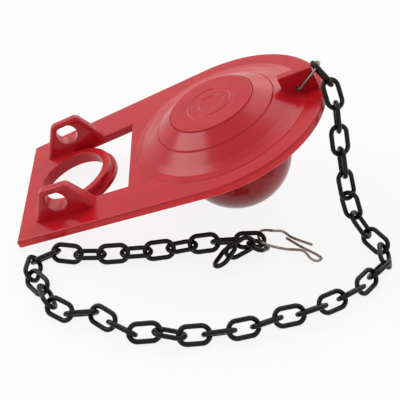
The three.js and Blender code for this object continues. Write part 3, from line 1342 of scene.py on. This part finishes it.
@dataclass(frozen=True)
class Lamp:
    """A soft square lamp that faces the part: place and side in metres, power in watts."""

    name: str
    place: Triple
    side: float
    power: float

    def hang(self, aim: Triple) -> None:
        """Hangs the lamp so that it faces a point."""
        data = bpy.data.lights.new(self.name, "AREA")
        data.shape = "SQUARE"
        data.size = self.side
        data.energy = self.power
        made = shown(self.name, data)
        made.location = self.place
        made.rotation_euler = (Vector(aim) - made.location).to_track_quat("-Z", "Y").to_euler()


@dataclass
class Studio:
    """Pale floor, white surroundings, soft lamps and the camera at the photo's angle.

    Attributes:
        eye: Camera's place in metres.
        ahead: Direction that it looks in.
        aside: Direction to its right.
        focal: Focal length in pixels of the photo.
        photo_width: Width of the photo in pixels.
        sensor: Width of the camera's sensor in millimetres.
        nearest: Least distance that the camera sees, in metres.
        lift: How much of the floor's look is plain white, with the rest left to the shadow.
        floor_reach: Half the floor's side in metres.
        floor_tones: Darkest and brightest grey of the floor.
        floor_cloud: Size of the floor's faint clouds in metres.
        floor_roughness: Roughness of the floor.
        soft_light: Strength of the surroundings as a lamp.
        aim: Point that the lamps face.
        lamps: The lamps.
    """

    eye: Triple = (-0.00512, -0.31395, 0.2565)
    ahead: Triple = (0.0104, 0.793, -0.6091)
    aside: Triple = (0.9999, -0.0131, 0.0)
    focal: float = 1023.0
    photo_width: float = 400.0
    sensor: float = 36.0
    nearest: float = 0.01
    lift: float = 0.87
    floor_reach: float = 3.0
    floor_tones: Pair = (0.93, 0.95)
    floor_cloud: float = 0.25
    floor_roughness: float = 0.9
    soft_light: float = 0.45
    aim: Triple = (0.0, 0.0, 0.02)
    lamps: tuple[Lamp, ...] = (
        Lamp("key_lamp", (-0.93, 0.27, 0.65), 0.60, 4.2),
        Lamp("back_lamp", (0.28, 0.83, 0.87), 1.3, 7.6),
    )

    def camera(self) -> None:
        """Puts up the camera."""
        data = bpy.data.cameras.new("photo_camera")
        data.sensor_width = self.sensor
        data.lens = self.focal / self.photo_width * self.sensor
        data.clip_start = self.nearest
        eye = shown("photo_camera", data)
        ahead, aside = Vector(self.ahead).normalized(), Vector(self.aside)
        aside = (aside - ahead * aside.dot(ahead)).normalized()
        turn = Matrix((aside, aside.cross(ahead), -ahead)).transposed()
        eye.matrix_world = Matrix.Translation(Vector(self.eye)) @ turn.to_4x4()
        bpy.context.scene.camera = eye

    def floor(self) -> None:
        """Lays the floor."""
        signs = ((-1, -1), (1, -1), (1, 1), (-1, 1))
        corners = [Vector((x * self.floor_reach, y * self.floor_reach, 0.0)) for x, y in signs]
        floor = shown("floor", mesh_from(corners, [(0, 1, 2, 3)]))
        made, wiring, shader, place = new_material("pale_floor")
        shade = wiring.spread(wiring.noise(place, self.floor_cloud, detail=2.0), 0.0, 1.0)
        dark, pale = ((tone, tone, tone) for tone in self.floor_tones)
        wiring.fill(shader, {
            "Base Color": wiring.blend(shade, dark, pale),
            "Roughness": self.floor_roughness,
            "Specular IOR Level": 0.0,
        })
        white = wiring.node("ShaderNodeEmission", {"Color": WHITE, "Strength": 1.0}).outputs[0]
        share = wiring.math("MULTIPLY", wiring.seen(), self.lift)
        mixed = wiring.node("ShaderNodeMixShader", {0: share, 1: shader.outputs[0], 2: white})
        output = next(node for node in made.node_tree.nodes if node.type == "OUTPUT_MATERIAL")
        wiring.fill(output, {"Surface": mixed.outputs[0]})
        floor.data.materials.append(made)

    def surroundings(self) -> None:
        """Lights the surroundings: white to the camera and in reflections, softer as a lamp."""
        world = bpy.data.worlds.new("surroundings")
        bpy.context.scene.world = world
        world.use_nodes = True
        wiring = Wiring(world.node_tree)
        strength = wiring.math("MAXIMUM", wiring.seen(), self.soft_light)
        light = wiring.node("ShaderNodeBackground", {"Color": WHITE, "Strength": strength})
        wiring.node("ShaderNodeOutputWorld", {"Surface": light.outputs[0]})

    def build(self) -> None:
        """Sets up the whole studio."""
        bpy.context.scene.view_settings.view_transform = "Standard"
        self.camera()
        self.floor()
        self.surroundings()
        for lamp in self.lamps:
            lamp.hang(self.aim)


def main() -> None:
    """Builds every piece in order."""
    logging.basicConfig(level=logging.INFO, format="%(name)s: %(message)s")
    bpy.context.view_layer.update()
    Studio().build()
    log.info("studio ready")
    moulding = Moulding()
    rubber = RubberFinish().make(moulding.place())
    plastic = BlackPlasticFinish().make()
    steel = SteelWireFinish().make()
    chain = Chain()
    routes = ClipRoutes()
    for piece in (
        moulding.build(rubber),
        chain.build(plastic),
        WireClip("front_wire_clip", "front_clip", routes.front_route(moulding)).build(steel),
        WireClip("end_wire_clip", "end_clip", routes.end_route(chain)).build(steel),
    ):
        piece.data.calc_loop_triangles()
        log.info("%s: %d triangles", piece.name, len(piece.data.loop_triangles))


if __name__ == "__main__":
    main()
